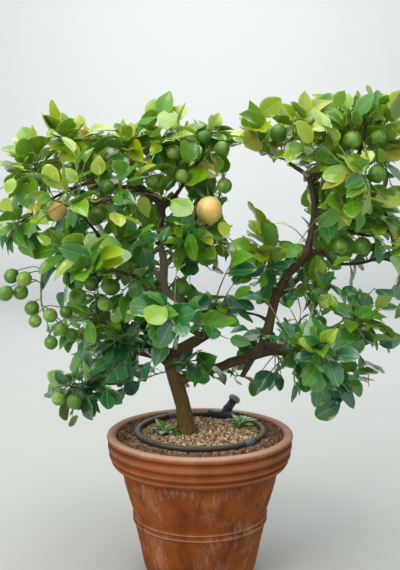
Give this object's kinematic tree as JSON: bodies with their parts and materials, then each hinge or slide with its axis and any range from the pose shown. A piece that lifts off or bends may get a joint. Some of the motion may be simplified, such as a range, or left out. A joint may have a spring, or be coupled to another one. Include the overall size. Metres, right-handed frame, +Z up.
{
  "type": "potted citrus tree",
  "caption": "Live citrus tree with green and ripe fruit in a round terracotta pot, with a ring of drip pipe lying on its soil.",
  "frame": {"origin": "centre of the pot's foot, on the ground", "axes": "+Z up, -Y towards the front of the tree, +X to the viewer's right"},
  "size_m": [1.1461, 0.8214, 1.3894],
  "materials": {
    "terracotta": "unglazed, weathered",
    "soil": "bark and grit, dry",
    "bark": "living bark, rough",
    "pipe": "extruded, dusty",
    "fitting": "moulded",
    "cap": "moulded, pale",
    "leaf": "living leaf, waxy",
    "green_fruit": "living fruit, satin",
    "ripe_fruit": "living fruit, satin",
    "weed": "living leaf"
  },
  "bodies": {
    "root": {"pot": "terracotta", "soil": "soil", "wood": "bark", "drip_ring": "pipe", "drip_tee": "fitting", "drip_cap": "cap", "drip_sleeve_front": "fitting", "drip_sleeve_back": "fitting", "weed_left": "weed", "weed_right": "weed", "ripe_lemon": "ripe_fruit", "ripe_lemon_left": "ripe_fruit", "green_left_bunch": "green_fruit", "green_mid_left": "green_fruit", "green_low_pair": "green_fruit", "green_upper_left": "green_fruit", "green_top_centre": "green_fruit", "green_centre": "green_fruit", "green_right_near": "green_fruit", "green_right_top": "green_fruit", "green_right_mid": "green_fruit", "green_centre_low": "green_fruit", "crown_far_left": "leaf", "crown_left_top": "leaf", "crown_mid_left": "leaf", "crown_top_centre": "leaf", "crown_centre_right": "leaf", "centre_high": "leaf", "young_shoot": "leaf", "crown_right_near": "leaf", "crown_right_one": "leaf", "crown_right_two": "leaf", "crown_right_three": "leaf", "crown_right_four": "leaf", "right_middle": "leaf", "right_under": "leaf", "right_stand": "leaf", "right_droop": "leaf", "low_right": "leaf", "low_centre": "leaf", "centre_middle": "leaf", "centre_upper": "leaf", "left_pale": "leaf", "left_high": "leaf", "left_far": "leaf", "left_bottom": "leaf", "left_centre_low": "leaf", "front_left_spray": "leaf", "front_centre_spray": "leaf", "front_right_spray": "leaf", "front_right_top": "leaf", "front_left_top": "leaf", "back_centre_spray": "leaf", "back_left_spray": "leaf", "back_right_spray": "leaf", "back_right_bottom": "leaf", "back_right_top": "leaf", "back_left_top": "leaf", "back_left_bottom": "leaf"}
  },
  "joints": []
}
